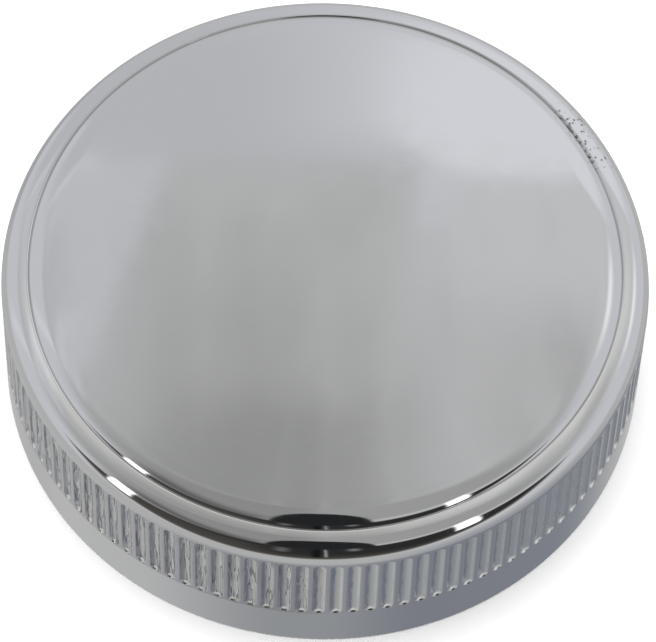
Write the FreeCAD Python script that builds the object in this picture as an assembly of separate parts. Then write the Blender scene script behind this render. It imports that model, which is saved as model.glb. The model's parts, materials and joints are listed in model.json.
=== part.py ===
"""Vented cam-lock filler cap: a chromed coin-edge shell holds a bayonet plate, a sprung gasket and a breather valve.

The cap stands on its skirt. The origin is the centre of the skirt's rim and +Z is the cap's axis. Lengths are in mm.
"""

import FreeCAD
import Part
import math
import os

Vector = FreeCAD.Vector
UP = Vector(0, 0, 1)

# Shell, outside
GROOVE_COUNT = 120
GROOVE_PITCH = 2.0
GROOVE_RADIUS = 1.0
GROOVE_DEPTH = 0.32
GROOVE_FIRST = 0.85
GROOVE_LOW = 7.1
GROOVE_HIGH = 18.95
CAP_RADIUS = GROOVE_COUNT * GROOVE_PITCH / (2 * math.pi)
LEDGE_HEIGHT = 21.8
ROLL_RADIUS = 3.0
DISC_EDGE_CENTRE = (33.52, 20.86)
DISC_EDGE_RADIUS = 1.6
DISC_BEND_RADIUS = 4.5
DISC_BEND_ANGLE = 52.0
DOME_RADIUS = 1050.0
LINE_POINT = (34.906, 21.66)
LINE_MIDDLE = (34.985, 21.745)
LINE_ANGLE = 92.0
RIM_ROUND = 0.35

# Shell and liner, inside
WALL = 1.4
LINER_THICKNESS = 0.8
LINER_FLANGE_LOW = 17.0

# Bayonet plate
LOCK_LOW = 5.0
LOCK_THICKNESS = 1.6
LOCK_HOLE_RADIUS = 8.0
EAR_RADIUS = 27.5
EAR_HALF_ANGLE = 25.0
EAR_RAMP_ANGLE = 16.0
EAR_RAMP_DROP = 0.8
EAR_STOP_HEIGHT = 1.6
EAR_STOP_ANGLE = 4.0

# Valve housing
HOUSING_RADIUS = 20.0
HOUSING_BORE = 17.0
HOUSING_ROOF = 1.2
WINDOW_COUNT = 6
WINDOW_WIDTH = 5.0
WINDOW_LOW = 14.0
WINDOW_HIGH = 16.6

# Rivets and screws
RIVET_COUNT = 4
RIVET_CIRCLE = 13.4
RIVET_SHANK = 1.5
RIVET_HEAD = 2.4
RIVET_HEAD_HEIGHT = 0.8
SCREW_COUNT = 6
SCREW_CIRCLE = 18.5
SCREW_SHANK = 0.9
SCREW_HEAD = 1.7
SCREW_HEAD_HEIGHT = 1.1
SCREW_LENGTH = 5.0
SCREW_SLOT = 0.5

# Breather valve
SEAT_THICKNESS = 1.6
SEAT_LIP_INNER = 8.8
SEAT_LIP_OUTER = 10.0
SEAT_LIP_HEIGHT = 1.1
VALVE_GAP = 0.1
SEAL_INNER = 4.2
SEAL_OUTER = 11.4
SEAL_THICKNESS = 1.0
PLATE_RADIUS = 11.8
PLATE_THICKNESS = 1.0
PLATE_COLLAR_INNER = 7.6
PLATE_COLLAR_OUTER = 8.5
PLATE_COLLAR_HEIGHT = 1.2
STEM_RADIUS = 1.2
STEM_HOLE = 1.26
VENT_COUNT = 6
VENT_RADIUS = 0.7
VENT_CIRCLE = 2.7
VACUUM_DISC_RADIUS = 6.4
VACUUM_DISC_THICKNESS = 1.0
PRESSURE_SPRING_RADIUS = 9.7
PRESSURE_SPRING_WIRE = 0.5
PRESSURE_SPRING_TURNS = 3.5
SPRING_CAP_INNER = 7.6
SPRING_CAP_COLLAR = 8.5
SPRING_CAP_OUTER = 10.7
SPRING_CAP_THICKNESS = 0.6
SPRING_CAP_HEIGHT = 2.0
VACUUM_SPRING_RADIUS = 4.2
VACUUM_SPRING_WIRE = 0.3
VACUUM_SPRING_TURNS = 4
VACUUM_SPRING_HEIGHT = 3.4
RETAINER_RADIUS = 5.0
RETAINER_THICKNESS = 0.6
CLIP_RADIUS = 2.6
CLIP_THICKNESS = 0.5
CLIP_GROOVE = 0.85
STEM_END = 0.3

# Baffle and tether
BAFFLE_RADIUS = 10.5
BAFFLE_LOW = 3.3
BAFFLE_THICKNESS = 0.8
BAFFLE_HOLE_COUNT = 8
BAFFLE_HOLE_RADIUS = 1.1
BAFFLE_HOLE_CIRCLE = 6.6
TETHER_SHOULDER = 1.6
TETHER_THREAD = 1.1
TETHER_HEAD = 2.9
TETHER_HEAD_LOW = 0.4
TETHER_HEAD_HEIGHT = 0.9
TETHER_NUT_FLATS = 4.0
TETHER_NUT_HEIGHT = 1.5
EYE_BORE = 1.65
EYE_HUB = 3.6
EYE_LOW = 1.6
EYE_THICKNESS = 1.4
EYE_REACH = 13.8
EYE_END = 2.8
EYE_HOLE = 1.5

# Sprung gasket
SLEEVE_CLEARANCE = 0.3
THRUST_OUTER = 24.2
THRUST_THICKNESS = 0.8
THRUST_GAP = 0.1
GASKET_LOW = 8.0
GASKET_THICKNESS = 3.0
GASKET_INNER = 22.7
GASKET_OUTER = 29.7
GASKET_REBATE = 1.0
GASKET_REBATE_HEIGHT = 0.8
GASKET_ROUND = 0.6
CARRIER_THICKNESS = 1.0
CARRIER_SKIRT = 0.8
CARRIER_SKIRT_LOW = 9.2
RETAINER_WALL = 0.8
RETAINER_HOOK = 0.6
GASKET_SPRING_RADIUS = 22.2
GASKET_SPRING_WIRE = 0.7
GASKET_SPRING_TURNS = 2.5

# Heights that follow from the ones above
LINER_HIGH = LEDGE_HEIGHT - WALL
LINER_LOW = LINER_HIGH - LINER_THICKNESS
LOCK_HIGH = LOCK_LOW + LOCK_THICKNESS
HOUSING_CEILING = LINER_LOW - HOUSING_ROOF
SEAT_HIGH = LOCK_HIGH + SEAT_THICKNESS
SEAT_LIP_HIGH = SEAT_HIGH + SEAT_LIP_HEIGHT
SEAL_LOW = SEAT_LIP_HIGH + VALVE_GAP
PLATE_LOW = SEAL_LOW + SEAL_THICKNESS
PLATE_HIGH = PLATE_LOW + PLATE_THICKNESS
VACUUM_DISC_HIGH = SEAL_LOW - VALVE_GAP
VACUUM_DISC_LOW = VACUUM_DISC_HIGH - VACUUM_DISC_THICKNESS
VACUUM_RETAINER_LOW = PLATE_HIGH + VACUUM_SPRING_HEIGHT
CLIP_LOW = VACUUM_RETAINER_LOW + RETAINER_THICKNESS
CLIP_HIGH = CLIP_LOW + CLIP_THICKNESS
BAFFLE_HIGH = BAFFLE_LOW + BAFFLE_THICKNESS
TETHER_HEAD_HIGH = TETHER_HEAD_LOW + TETHER_HEAD_HEIGHT
GASKET_HIGH = GASKET_LOW + GASKET_THICKNESS
CARRIER_HIGH = GASKET_HIGH + CARRIER_THICKNESS
SLEEVE_RADIUS = HOUSING_RADIUS + SLEEVE_CLEARANCE
THRUST_HIGH = LINER_LOW - THRUST_GAP
THRUST_LOW = THRUST_HIGH - THRUST_THICKNESS


def polar(radius, degrees, height=0.0):
    """The point at a radius and an angle from +X."""
    turn = math.radians(degrees)
    return Vector(radius * math.cos(turn), radius * math.sin(turn), height)


def on_roll(centre, radius, degrees):
    """The (r, z) point of a rolled edge whose outward normal is this steep."""
    turn = math.radians(degrees)
    return (centre[0] + radius * math.cos(turn), centre[1] + radius * math.sin(turn))


def revolve(start, *steps):
    """The solid swept about Z by an outline of (r, z) points. Two points in one step are an arc through the first."""
    point = Vector(start[0], 0, start[1])
    first = point
    edges = []
    for step in steps:
        if isinstance(step[0], tuple):
            middle = Vector(step[0][0], 0, step[0][1])
            end = Vector(step[1][0], 0, step[1][1])
            edges.append(Part.Arc(point, middle, end).toShape())
        else:
            end = Vector(step[0], 0, step[1])
            edges.append(Part.makeLine(point, end))
        point = end
    edges.append(Part.makeLine(point, first))
    return Part.Face(Part.Wire(edges)).revolve(Vector(), UP, 360)


def cylinder(radius, low, high, centre=Vector()):
    return Part.makeCylinder(radius, high - low, Vector(centre.x, centre.y, low))


def ring(inner, outer, low, high):
    return cylinder(outer, low, high).cut(cylinder(inner, low, high))


def circle_of(shape_at, count, first=0.0):
    """The shapes that shape_at(degrees) makes at equal steps round the axis."""
    return [shape_at(first + 360.0 * i / count) for i in range(count)]


def coil(mean_radius, wire_radius, low, high, turns):
    """A round-wire spring whose wire touches low and high, swept along half turns of a helix."""
    half_turns = round(2 * turns)
    step = (high - low - 2 * wire_radius) / half_turns
    spans = []
    for i in range(half_turns):
        span = Part.makeHelix(2 * step, step, mean_radius)
        span.rotate(Vector(), UP, 180 * i)
        span.translate(Vector(0, 0, low + wire_radius + step * i))
        spans.extend(span.Edges)
    section = Part.Wire(Part.makeCircle(wire_radius, Vector(mean_radius, 0, low + wire_radius), Vector(0, 1, 0)))
    return Part.Wire(spans).makePipeShell([section], True, True)


def sector(inner, outer, low, high, start, end):
    """A ring's slice between two angles."""
    middle = (start + end) / 2
    corners = [
        Part.Arc(polar(outer, start, low), polar(outer, middle, low), polar(outer, end, low)).toShape(),
        Part.makeLine(polar(outer, end, low), polar(inner, end, low)),
        Part.Arc(polar(inner, end, low), polar(inner, middle, low), polar(inner, start, low)).toShape(),
        Part.makeLine(polar(inner, start, low), polar(outer, start, low)),
    ]
    return Part.Face(Part.Wire(corners)).extrude(Vector(0, 0, high - low))


def disc_steps(inset, edge_angle):
    """The disc's outline from its edge to the axis: a tight bend, a wide bend and the dome, all tangent."""
    edge = DISC_EDGE_RADIUS - inset
    bend = DISC_BEND_RADIUS - inset
    reach = DISC_BEND_RADIUS - DISC_EDGE_RADIUS
    bend_centre = on_roll(DISC_EDGE_CENTRE, -reach, DISC_BEND_ANGLE)
    tilt = math.degrees(math.asin(bend_centre[0] / (DOME_RADIUS - DISC_BEND_RADIUS)))
    dome = DOME_RADIUS - inset
    dome_centre = on_roll(bend_centre, -(DOME_RADIUS - DISC_BEND_RADIUS), 90 - tilt)
    return [
        on_roll(DISC_EDGE_CENTRE, edge, edge_angle),
        (
            on_roll(DISC_EDGE_CENTRE, edge, (edge_angle + DISC_BEND_ANGLE) / 2),
            on_roll(DISC_EDGE_CENTRE, edge, DISC_BEND_ANGLE),
        ),
        (
            on_roll(bend_centre, bend, (DISC_BEND_ANGLE + 90 - tilt) / 2),
            on_roll(bend_centre, bend, 90 - tilt),
        ),
        (on_roll(dome_centre, dome, 90 - tilt / 2), (0, dome_centre[1] + dome)),
    ]


def shell_outside():
    """The shell as a full body. A sharp line parts the disc's edge from the outer roll."""
    shoulder = (CAP_RADIUS - ROLL_RADIUS, LEDGE_HEIGHT - ROLL_RADIUS)
    line_height = (LINE_POINT[1] - DISC_EDGE_CENTRE[1]) / DISC_EDGE_RADIUS
    return revolve(
        (0, 0),
        (CAP_RADIUS, 0),
        on_roll(shoulder, ROLL_RADIUS, 0),
        (on_roll(shoulder, ROLL_RADIUS, LINE_ANGLE / 2), on_roll(shoulder, ROLL_RADIUS, LINE_ANGLE)),
        (LINE_MIDDLE, LINE_POINT),
        *disc_steps(0.0, math.degrees(math.asin(line_height))),
    )


def shell_cavity():
    shoulder = (CAP_RADIUS - ROLL_RADIUS, LEDGE_HEIGHT - ROLL_RADIUS)
    roll = ROLL_RADIUS - WALL
    return revolve(
        (0, 0),
        (CAP_RADIUS - WALL, 0),
        on_roll(shoulder, roll, 0),
        (on_roll(shoulder, roll, 45), on_roll(shoulder, roll, 90)),
        (DISC_EDGE_CENTRE[0] + DISC_EDGE_RADIUS - WALL, LEDGE_HEIGHT - WALL),
        *disc_steps(WALL, 0.0),
    )


def groove_cutter(degrees):
    """A ball-ended rod that stands in the side and cuts one groove of the grip band."""
    half_width = math.sqrt(GROOVE_RADIUS**2 - (GROOVE_RADIUS - GROOVE_DEPTH) ** 2)
    low = GROOVE_LOW + half_width
    high = GROOVE_HIGH - half_width
    centre = polar(CAP_RADIUS - GROOVE_DEPTH + GROOVE_RADIUS, degrees)
    rod = cylinder(GROOVE_RADIUS, low, high, centre)
    ends = [Part.makeSphere(GROOVE_RADIUS, Vector(centre.x, centre.y, z)) for z in (low, high)]
    return rod.fuse(ends).removeSplitter()


def cap_shell():
    shell = shell_outside().cut(shell_cavity())
    rims = [edge for edge in shell.Edges if edge.BoundBox.ZMax < RIM_ROUND and len(edge.Vertexes) == 1]
    shell = shell.makeFillet(RIM_ROUND, rims)
    return shell.cut(Part.makeCompound(circle_of(groove_cutter, GROOVE_COUNT, GROOVE_FIRST)))


def rivet_hole(degrees):
    return cylinder(RIVET_SHANK, HOUSING_CEILING, LINER_HIGH, polar(RIVET_CIRCLE, degrees))


def liner_plate():
    shoulder = (CAP_RADIUS - ROLL_RADIUS, LEDGE_HEIGHT - ROLL_RADIUS)
    outer_roll = ROLL_RADIUS - WALL
    inner_roll = outer_roll - LINER_THICKNESS
    plate = revolve(
        (0, LINER_LOW),
        on_roll(shoulder, inner_roll, 90),
        (on_roll(shoulder, inner_roll, 45), on_roll(shoulder, inner_roll, 0)),
        (shoulder[0] + inner_roll, LINER_FLANGE_LOW),
        (shoulder[0] + outer_roll, LINER_FLANGE_LOW),
        on_roll(shoulder, outer_roll, 0),
        (on_roll(shoulder, outer_roll, 45), on_roll(shoulder, outer_roll, 90)),
        (0, LINER_HIGH),
    )
    return plate.cut(circle_of(rivet_hole, RIVET_COUNT))


def screw_hole(degrees):
    return cylinder(SCREW_SHANK, LOCK_LOW, LOCK_LOW + SCREW_LENGTH, polar(SCREW_CIRCLE, degrees))


def window_cutter(degrees):
    window = Part.makeBox(
        HOUSING_RADIUS,
        WINDOW_WIDTH,
        WINDOW_HIGH - WINDOW_LOW,
        Vector(SPRING_CAP_OUTER, -WINDOW_WIDTH / 2, WINDOW_LOW),
    )
    return window.rotate(Vector(), UP, degrees)


def valve_housing():
    bore = cylinder(HOUSING_BORE, LOCK_HIGH, HOUSING_CEILING)
    windows = circle_of(window_cutter, WINDOW_COUNT)
    screw_holes = circle_of(screw_hole, SCREW_COUNT, 30)
    rivet_holes = circle_of(rivet_hole, RIVET_COUNT)
    return cylinder(HOUSING_RADIUS, LOCK_HIGH, LINER_LOW).cut([bore, *windows, *screw_holes, *rivet_holes])


def housing_rivet(degrees):
    centre = polar(RIVET_CIRCLE, degrees)
    shank = cylinder(RIVET_SHANK, HOUSING_CEILING, LINER_HIGH, centre)
    upper = cylinder(RIVET_HEAD, LINER_HIGH, LINER_HIGH + RIVET_HEAD_HEIGHT, centre)
    lower = cylinder(RIVET_HEAD, HOUSING_CEILING - RIVET_HEAD_HEIGHT, HOUSING_CEILING, centre)
    upper = upper.makeFillet(RIVET_HEAD_HEIGHT / 2, [upper.Edges[0]])
    lower = lower.makeFillet(RIVET_HEAD_HEIGHT / 2, [lower.Edges[2]])
    return shank.fuse([upper, lower]).removeSplitter()


def lock_ear(degrees):
    """A cam ear with a lead-in ramp at one end and a turned-down stop at the other."""
    start = degrees - EAR_HALF_ANGLE
    end = degrees + EAR_HALF_ANGLE
    ear = sector(HOUSING_RADIUS - 1, EAR_RADIUS, LOCK_LOW, LOCK_HIGH, start, end)
    ramp_length = math.radians(EAR_RAMP_ANGLE) * EAR_RADIUS
    ramp = Part.makeBox(EAR_RADIUS, ramp_length, ramp_length, Vector(HOUSING_RADIUS, -ramp_length, 0))
    slope = math.degrees(math.atan2(EAR_RAMP_DROP, ramp_length))
    ramp = ramp.rotate(Vector(), Vector(1, 0, 0), slope)
    ramp = ramp.translate(Vector(0, 0, LOCK_HIGH)).rotate(Vector(), UP, start + EAR_RAMP_ANGLE)
    stop_low = LOCK_LOW - EAR_STOP_HEIGHT
    stop = sector(EAR_RADIUS - LOCK_THICKNESS, EAR_RADIUS, stop_low, LOCK_LOW, end - EAR_STOP_ANGLE, end)
    return ear.cut(ramp).fuse(stop)


def lock_plate():
    plate = ring(LOCK_HOLE_RADIUS, HOUSING_RADIUS, LOCK_LOW, LOCK_HIGH)
    plate = plate.fuse(circle_of(lock_ear, 2, 90)).removeSplitter()
    return plate.cut(circle_of(screw_hole, SCREW_COUNT, 30))


def lock_plate_screw(degrees):
    centre = polar(SCREW_CIRCLE, degrees)
    shank = cylinder(SCREW_SHANK, LOCK_LOW, LOCK_LOW + SCREW_LENGTH, centre)
    head = cylinder(SCREW_HEAD, LOCK_LOW - SCREW_HEAD_HEIGHT, LOCK_LOW, centre)
    head = head.makeFillet(SCREW_HEAD_HEIGHT / 2, [head.Edges[2]])
    slot = Part.makeBox(
        2 * SCREW_HEAD,
        SCREW_SLOT,
        SCREW_SLOT,
        Vector(centre.x - SCREW_HEAD, centre.y - SCREW_SLOT / 2, LOCK_LOW - SCREW_HEAD_HEIGHT),
    )
    return shank.fuse(head).removeSplitter().cut(slot)


def valve_seat():
    base = ring(LOCK_HOLE_RADIUS, HOUSING_BORE, LOCK_HIGH, SEAT_HIGH)
    lip = ring(SEAT_LIP_INNER, SEAT_LIP_OUTER, SEAT_HIGH, SEAT_LIP_HIGH)
    return base.fuse(lip).removeSplitter()


def spring_cap():
    seat_low = HOUSING_CEILING - SPRING_CAP_THICKNESS
    seat = ring(SPRING_CAP_INNER, SPRING_CAP_OUTER, seat_low, HOUSING_CEILING)
    collar = ring(SPRING_CAP_INNER, SPRING_CAP_COLLAR, HOUSING_CEILING - SPRING_CAP_HEIGHT, seat_low)
    return seat.fuse(collar).removeSplitter()


def pressure_spring():
    top = HOUSING_CEILING - SPRING_CAP_THICKNESS
    return coil(PRESSURE_SPRING_RADIUS, PRESSURE_SPRING_WIRE, PLATE_HIGH, top, PRESSURE_SPRING_TURNS)


def vent_hole(degrees):
    return cylinder(VENT_RADIUS, PLATE_LOW, PLATE_HIGH, polar(VENT_CIRCLE, degrees))


def pressure_plate():
    plate = ring(STEM_HOLE, PLATE_RADIUS, PLATE_LOW, PLATE_HIGH)
    collar_high = PLATE_HIGH + PLATE_COLLAR_HEIGHT
    plate = plate.fuse(ring(PLATE_COLLAR_INNER, PLATE_COLLAR_OUTER, PLATE_HIGH, collar_high)).removeSplitter()
    return plate.cut(circle_of(vent_hole, VENT_COUNT))


def valve_seal():
    return ring(SEAL_INNER, SEAL_OUTER, SEAL_LOW, PLATE_LOW)


def vacuum_disc():
    disc = cylinder(VACUUM_DISC_RADIUS, VACUUM_DISC_LOW, VACUUM_DISC_HIGH)
    stem = cylinder(STEM_RADIUS, VACUUM_DISC_HIGH, CLIP_HIGH + STEM_END)
    return disc.fuse(stem).removeSplitter().cut(ring(CLIP_GROOVE, STEM_RADIUS, CLIP_LOW, CLIP_HIGH))


def vacuum_spring():
    return coil(VACUUM_SPRING_RADIUS, VACUUM_SPRING_WIRE, PLATE_HIGH, VACUUM_RETAINER_LOW, VACUUM_SPRING_TURNS)


def vacuum_retainer():
    return ring(STEM_RADIUS, RETAINER_RADIUS, VACUUM_RETAINER_LOW, CLIP_LOW)


def vacuum_clip():
    """An open clip whose mouth is as wide as the groove it snaps over."""
    clip = ring(CLIP_GROOVE, CLIP_RADIUS, CLIP_LOW, CLIP_HIGH)
    mouth = Part.makeBox(CLIP_RADIUS, 2 * CLIP_GROOVE, CLIP_THICKNESS, Vector(0, -CLIP_GROOVE, CLIP_LOW))
    return clip.cut(mouth)


def baffle_hole(degrees):
    return cylinder(BAFFLE_HOLE_RADIUS, BAFFLE_LOW, BAFFLE_HIGH, polar(BAFFLE_HOLE_CIRCLE, degrees))


def baffle_cup():
    floor = ring(TETHER_THREAD, BAFFLE_RADIUS, BAFFLE_LOW, BAFFLE_HIGH)
    wall = ring(BAFFLE_RADIUS - BAFFLE_THICKNESS, BAFFLE_RADIUS, BAFFLE_HIGH, LOCK_LOW)
    cup = floor.fuse(wall).removeSplitter()
    return cup.cut(circle_of(baffle_hole, BAFFLE_HOLE_COUNT))


def tether_screw():
    head = cylinder(TETHER_HEAD, TETHER_HEAD_LOW, TETHER_HEAD_HIGH)
    head = head.makeFillet(TETHER_HEAD_HEIGHT / 2, [head.Edges[2]])
    shoulder = cylinder(TETHER_SHOULDER, TETHER_HEAD_HIGH, BAFFLE_LOW)
    thread = cylinder(TETHER_THREAD, BAFFLE_LOW, BAFFLE_HIGH + TETHER_NUT_HEIGHT)
    slot = Part.makeBox(
        2 * TETHER_HEAD,
        SCREW_SLOT,
        SCREW_SLOT,
        Vector(-TETHER_HEAD, -SCREW_SLOT / 2, TETHER_HEAD_LOW),
    )
    return head.fuse([shoulder, thread]).removeSplitter().cut(slot)


def tether_nut():
    corner = TETHER_NUT_FLATS / math.sqrt(3)
    outline = Part.makePolygon([polar(corner, 60 * i, BAFFLE_HIGH) for i in range(7)])
    nut = Part.Face(outline).extrude(Vector(0, 0, TETHER_NUT_HEIGHT))
    return nut.cut(cylinder(TETHER_THREAD, BAFFLE_HIGH, BAFFLE_HIGH + TETHER_NUT_HEIGHT))


def tether_eye():
    """A flat swivel link: a hub on the shoulder screw and a rounded end with the hole for the tether."""
    high = EYE_LOW + EYE_THICKNESS
    centre = Vector(0, -EYE_REACH, 0)
    hub = cylinder(EYE_HUB, EYE_LOW, high)
    end = cylinder(EYE_END, EYE_LOW, high, centre)
    bar = Part.makeBox(2 * EYE_END, EYE_REACH, EYE_THICKNESS, Vector(-EYE_END, -EYE_REACH, EYE_LOW))
    link = hub.fuse([end, bar]).removeSplitter()
    return link.cut([cylinder(EYE_BORE, EYE_LOW, high), cylinder(EYE_HOLE, EYE_LOW, high, centre)])


def thrust_washer():
    return ring(SLEEVE_RADIUS, THRUST_OUTER, THRUST_LOW, THRUST_HIGH)


def gasket_spring():
    return coil(GASKET_SPRING_RADIUS, GASKET_SPRING_WIRE, CARRIER_HIGH, THRUST_LOW, GASKET_SPRING_TURNS)


def gasket_carrier():
    """A pressed ring that slides on the housing and is turned down round the gasket."""
    outer = GASKET_OUTER + CARRIER_SKIRT
    bend_centre = (GASKET_OUTER, CARRIER_HIGH - CARRIER_SKIRT)
    return revolve(
        (SLEEVE_RADIUS, GASKET_HIGH),
        (GASKET_OUTER, GASKET_HIGH),
        (GASKET_OUTER, CARRIER_SKIRT_LOW),
        (outer, CARRIER_SKIRT_LOW),
        (outer, bend_centre[1]),
        (on_roll(bend_centre, CARRIER_SKIRT, 45), (GASKET_OUTER, CARRIER_HIGH)),
        (SLEEVE_RADIUS, CARRIER_HIGH),
    )


def gasket():
    """A square-section ring with rounded outer corner below and a rebate inside for its retainer."""
    round_centre = (GASKET_OUTER - GASKET_ROUND, GASKET_LOW + GASKET_ROUND)
    rebate = GASKET_INNER + GASKET_REBATE
    rebate_high = GASKET_LOW + GASKET_REBATE_HEIGHT
    return revolve(
        (rebate, GASKET_LOW),
        on_roll(round_centre, GASKET_ROUND, -90),
        (on_roll(round_centre, GASKET_ROUND, -45), on_roll(round_centre, GASKET_ROUND, 0)),
        (GASKET_OUTER, GASKET_HIGH),
        (GASKET_INNER, GASKET_HIGH),
        (GASKET_INNER, rebate_high),
        (rebate, rebate_high),
    )


def gasket_retainer():
    """An angle-section ring whose hook lies in the gasket's rebate."""
    wall = GASKET_INNER - RETAINER_WALL
    hook_high = GASKET_LOW + GASKET_REBATE_HEIGHT
    hook_low = hook_high - RETAINER_HOOK
    return revolve(
        (wall, hook_low),
        (GASKET_INNER + GASKET_REBATE, hook_low),
        (GASKET_INNER + GASKET_REBATE, hook_high),
        (GASKET_INNER, hook_high),
        (GASKET_INNER, GASKET_HIGH),
        (wall, GASKET_HIGH),
    )


PARTS = {
    "cap_shell": cap_shell,
    "liner_plate": liner_plate,
    "valve_housing": valve_housing,
    "housing_rivets": lambda: Part.makeCompound(circle_of(housing_rivet, RIVET_COUNT)),
    "lock_plate": lock_plate,
    "lock_plate_screws": lambda: Part.makeCompound(circle_of(lock_plate_screw, SCREW_COUNT, 30)),
    "valve_seat": valve_seat,
    "spring_cap": spring_cap,
    "pressure_spring": pressure_spring,
    "pressure_plate": pressure_plate,
    "valve_seal": valve_seal,
    "vacuum_disc": vacuum_disc,
    "vacuum_spring": vacuum_spring,
    "vacuum_retainer": vacuum_retainer,
    "vacuum_clip": vacuum_clip,
    "baffle_cup": baffle_cup,
    "tether_screw": tether_screw,
    "tether_nut": tether_nut,
    "tether_eye": tether_eye,
    "thrust_washer": thrust_washer,
    "gasket_spring": gasket_spring,
    "gasket_carrier": gasket_carrier,
    "gasket": gasket,
    "gasket_retainer": gasket_retainer,
}

os.makedirs("parts", exist_ok=True)
for name, make in PARTS.items():
    shape = make()
    print(name, len(shape.Solids), round(shape.Volume, 2), shape.isValid())
    shape.exportStep(f"parts/{name}.step")
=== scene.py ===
"""Looks of the deck fill cap: chrome shell, plated and turned metal, springs and rubber, in a light tent."""

import json
import math

import bpy
import numpy as np
from mathutils import Matrix, Vector


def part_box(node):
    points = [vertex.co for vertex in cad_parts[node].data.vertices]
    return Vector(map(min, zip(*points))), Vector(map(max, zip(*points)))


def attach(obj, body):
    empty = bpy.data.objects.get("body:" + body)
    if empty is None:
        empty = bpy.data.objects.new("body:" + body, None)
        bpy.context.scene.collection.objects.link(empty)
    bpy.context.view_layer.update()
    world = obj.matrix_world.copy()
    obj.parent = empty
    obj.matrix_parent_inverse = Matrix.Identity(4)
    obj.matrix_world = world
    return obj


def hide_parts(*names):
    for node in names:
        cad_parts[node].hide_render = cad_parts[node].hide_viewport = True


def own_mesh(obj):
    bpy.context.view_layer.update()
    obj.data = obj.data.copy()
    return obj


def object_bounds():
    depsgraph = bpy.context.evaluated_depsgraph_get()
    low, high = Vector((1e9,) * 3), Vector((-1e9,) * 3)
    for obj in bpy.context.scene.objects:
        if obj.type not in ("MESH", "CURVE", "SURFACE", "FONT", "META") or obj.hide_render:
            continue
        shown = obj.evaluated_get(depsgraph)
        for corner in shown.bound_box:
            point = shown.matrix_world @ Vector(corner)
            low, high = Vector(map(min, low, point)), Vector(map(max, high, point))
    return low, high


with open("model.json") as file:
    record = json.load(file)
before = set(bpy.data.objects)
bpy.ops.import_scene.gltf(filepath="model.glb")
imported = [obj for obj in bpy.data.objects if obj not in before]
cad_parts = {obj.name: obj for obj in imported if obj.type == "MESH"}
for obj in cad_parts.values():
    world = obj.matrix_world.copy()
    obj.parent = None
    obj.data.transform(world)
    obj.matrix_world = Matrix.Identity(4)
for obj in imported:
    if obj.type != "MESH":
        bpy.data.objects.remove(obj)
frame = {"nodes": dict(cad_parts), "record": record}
cad_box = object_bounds()

MM = 0.001
CAP_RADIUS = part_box("cap_shell")[1].x / MM

# Chrome shell, in millimetres as the CAD model has it
GROOVES = 120
GROOVE_RADIUS = 1.0
GROOVE_DEPTH = 0.32
GROOVE_FIRST = 0.85
GROOVE_LOW = 7.1
GROOVE_HIGH = 18.95
ROLL_RADIUS = 3.0
LEDGE_HEIGHT = 21.8
ROLL_CENTRE = (CAP_RADIUS - ROLL_RADIUS, LEDGE_HEIGHT - ROLL_RADIUS)
EDGE_CENTRE = (33.52, 20.86)
EDGE_RADIUS = 1.6
BEND_RADIUS = 4.5
BEND_ANGLE = 52.0
DOME_RADIUS = 1050.0
LINE_POINT = (34.906, 21.66)
LINE_MIDDLE = (34.985, 21.745)
LINE_ANGLE = 92.0
RIM_ROUND = 0.35
WALL = 1.4

# Shell mesh
COLUMNS_PER_GROOVE = 16
GRIP_COLUMNS = GROOVES * COLUMNS_PER_GROOVE
SMOOTH_COLUMNS = GRIP_COLUMNS // 4
GROOVE_ARC_ANGLES = (-39, -30, -20, -10, 0, 10, 20, 30, 39)
GROOVE_END_ANGLES = (86, 78, 66, 52, 36, 18, 0)
LIP_INSIDE = 0.05
LIP_OUTSIDE = 0.08
LIP_DROP = 0.018
GROOVE_MARGIN = 0.25
SKIRT_RINGS = ((4.0, SMOOTH_COLUMNS), (6.0, SMOOTH_COLUMNS * 2))
DOME_RINGS = (31.0, 29.5, 27.0, 24.0, 20.0)
DOME_HALVINGS = (16.0, 8.0, 4.0, 2.0)
INNER_WALL_RINGS = (4.0, 10.0, 16.0)
ROLL_STEP = 2.2
EDGE_STEP = 2.0
LINE_STEPS = 5
INNER_ROLL_STEP = 10
INNER_EDGE_STEP = 13
RIM_STEP = 15

# Springs
COIL_STEPS_PER_TURN = 48
COIL_SIDES = 12
COIL_END_PITCH = 0.25


def on_roll(centre, radius, degrees):
    turn = math.radians(degrees)
    return (centre[0] + radius * math.cos(turn), centre[1] + radius * math.sin(turn))


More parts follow.
